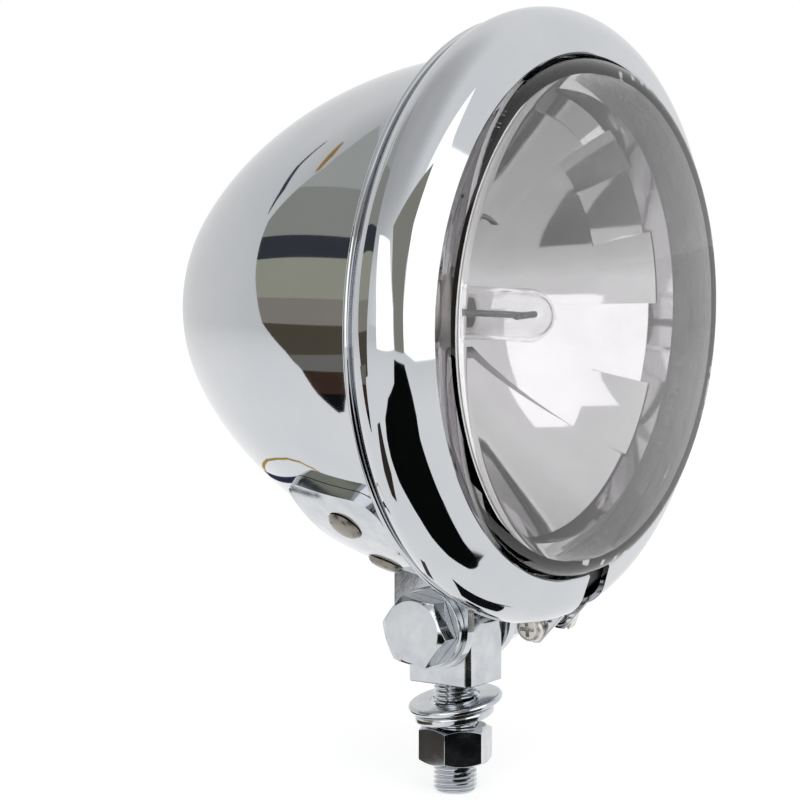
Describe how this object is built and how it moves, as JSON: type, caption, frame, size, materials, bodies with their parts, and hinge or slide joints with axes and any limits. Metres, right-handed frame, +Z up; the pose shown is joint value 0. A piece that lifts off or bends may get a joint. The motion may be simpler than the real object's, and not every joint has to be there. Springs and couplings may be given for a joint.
{
  "type": "motorbike auxiliary light",
  "caption": "Round chromed motorbike spot lamp with a domed clear lens and split trim ring, on a clevis bracket that tilts on a threaded stud mount.",
  "frame": {"origin": "middle of the swivel block's underside, on the stud's axis", "axes": "+Z up along the stud, -Y the way the lamp faces, +X along the pivot bolt from its head to its nut"},
  "size_m": [0.1302, 0.1046, 0.1701],
  "materials": {
    "chrome": "polished bright chrome plate on pressed steel",
    "zinc_plate": "bright zinc plate on steel, slightly blue",
    "rivet_steel": "dull plated rivet",
    "nickel_plate": "bright nickel plate",
    "clear_glass": "clear moulded glass",
    "bulb_glass": "clear quartz glass",
    "mirror": "aluminised faceted mirror",
    "black_rubber": "moulded black rubber",
    "spring_wire": "bare steel wire"
  },
  "bodies": {
    "mount": {"mount_block": "zinc_plate", "mount_stud": "zinc_plate", "stud_nut": "zinc_plate", "stud_washer": "zinc_plate", "stud_lock_washer": "zinc_plate"},
    "lamp_head": {"housing": "chrome", "trim_ring": "chrome", "bracket": "zinc_plate", "pivot_bolt": "zinc_plate", "pivot_nut": "zinc_plate", "pivot_lock_washer": "zinc_plate", "bracket_rivets": "rivet_steel", "clamp_screw": "nickel_plate", "clamp_nut": "nickel_plate", "bulb_base": "nickel_plate", "lens": "clear_glass", "bulb_envelope": "bulb_glass", "reflector": "mirror", "lens_gasket": "black_rubber", "cable_grommet": "black_rubber", "bulb_clip": "spring_wire", "bulb_filament": "spring_wire"}
  },
  "joints": [
    {"name": "tilt", "type": "hinge", "parent": "mount", "child": "lamp_head", "pos_m": [0, 0, 0.013], "axis": [1, 0, 0], "range_deg": [-30, 25]}
  ]
}
